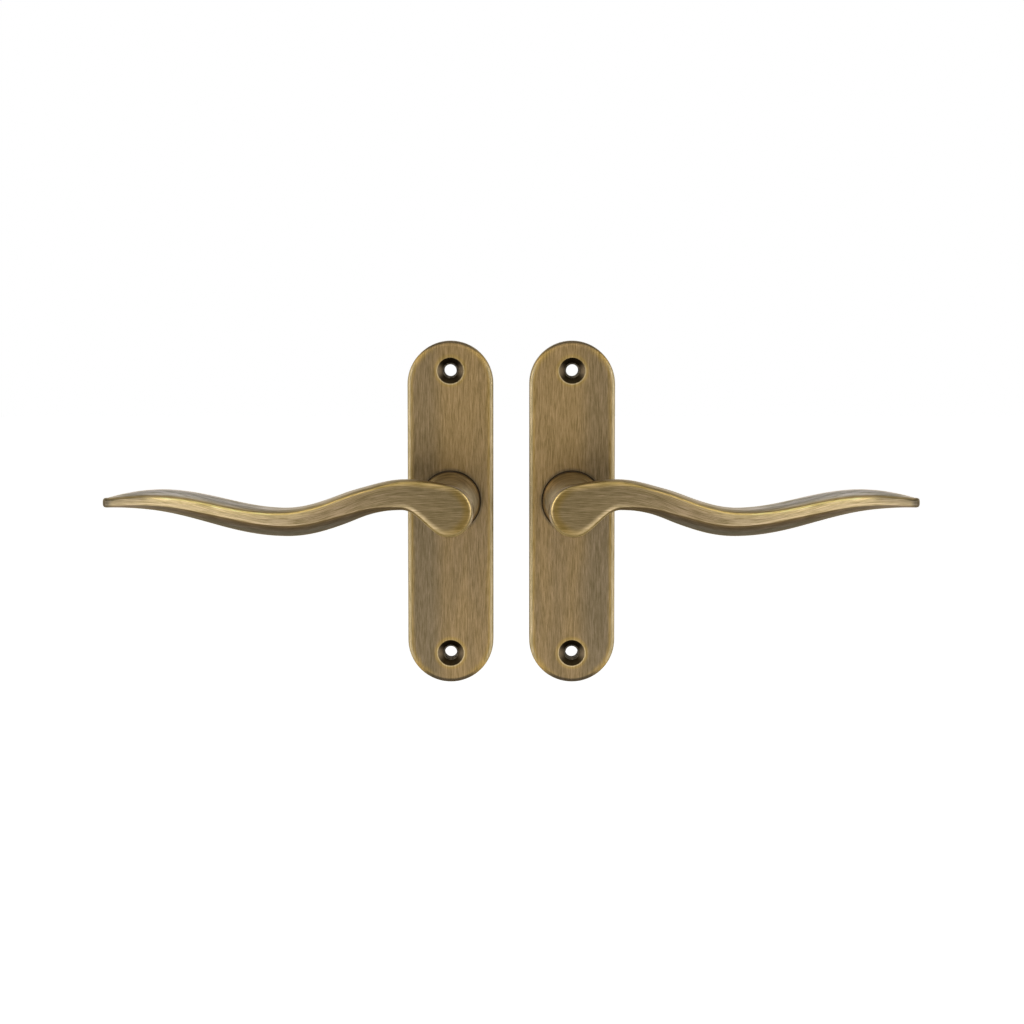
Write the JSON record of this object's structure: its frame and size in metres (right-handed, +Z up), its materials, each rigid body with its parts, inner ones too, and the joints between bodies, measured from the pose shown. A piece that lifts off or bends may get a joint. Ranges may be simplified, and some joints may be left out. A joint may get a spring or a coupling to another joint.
{
  "type": "door handle set",
  "caption": "Left and right sprung lever door handles with wavy grips on short round-ended plates, brushed antique brass, with a square spindle.",
  "frame": {"origin": "midway between the two plates, at half their height, on the door's face (the plane of the plates' backs)", "axes": "+X along the right lever, +Y into the door, +Z up"},
  "size_m": [0.3226, 0.131, 0.14],
  "materials": {
    "antique_brass_plate": "antique brass on a zinc casting, brushed upright, matt lacquer, worn lighter along the edges",
    "antique_brass_lever": "antique brass on a zinc casting, brushed along the lever, matt lacquer, worn lighter along the edges",
    "dark_nylon": "moulded dark nylon",
    "blackened_steel": "black oxide",
    "zinc_plated_steel": "pressed sheet steel, zinc plated",
    "spring_steel": "drawn spring wire, oiled",
    "bright_steel": "cold drawn square bar, zinc plated"
  },
  "bodies": {
    "root": {"left_plate": "antique_brass_plate", "left_neck_bush": "dark_nylon", "left_return_spring": "spring_steel", "left_back_cover": "zinc_plated_steel", "left_cover_screws": "blackened_steel", "right_plate": "antique_brass_plate", "right_neck_bush": "dark_nylon", "right_return_spring": "spring_steel", "right_back_cover": "zinc_plated_steel", "right_cover_screws": "blackened_steel"},
    "left_handle": {"left_lever": "antique_brass_lever", "left_grub_screw": "blackened_steel", "left_cam_plate": "zinc_plated_steel", "left_thrust_washer": "zinc_plated_steel", "left_circlip": "blackened_steel", "spindle": "bright_steel"},
    "right_handle": {"right_lever": "antique_brass_lever", "right_grub_screw": "blackened_steel", "right_cam_plate": "zinc_plated_steel", "right_thrust_washer": "zinc_plated_steel", "right_circlip": "blackened_steel"}
  },
  "joints": [
    {"name": "left_lever_turn", "type": "hinge", "parent": "root", "child": "left_handle", "pos_m": [-0.02485, 0, 0.00475], "axis": [0, -1, 0], "range_deg": [0, 45], "stiffness_Nm_per_rad": 0.8, "springref_deg": -28.65, "deforming": ["left_return_spring"]},
    {"name": "right_lever_turn", "type": "hinge", "parent": "root", "child": "right_handle", "pos_m": [0.02485, 0, 0.00475], "axis": [0, 1, 0], "range_deg": [0, 45], "stiffness_Nm_per_rad": 0.8, "springref_deg": -28.65, "deforming": ["right_return_spring"]}
  ]
}
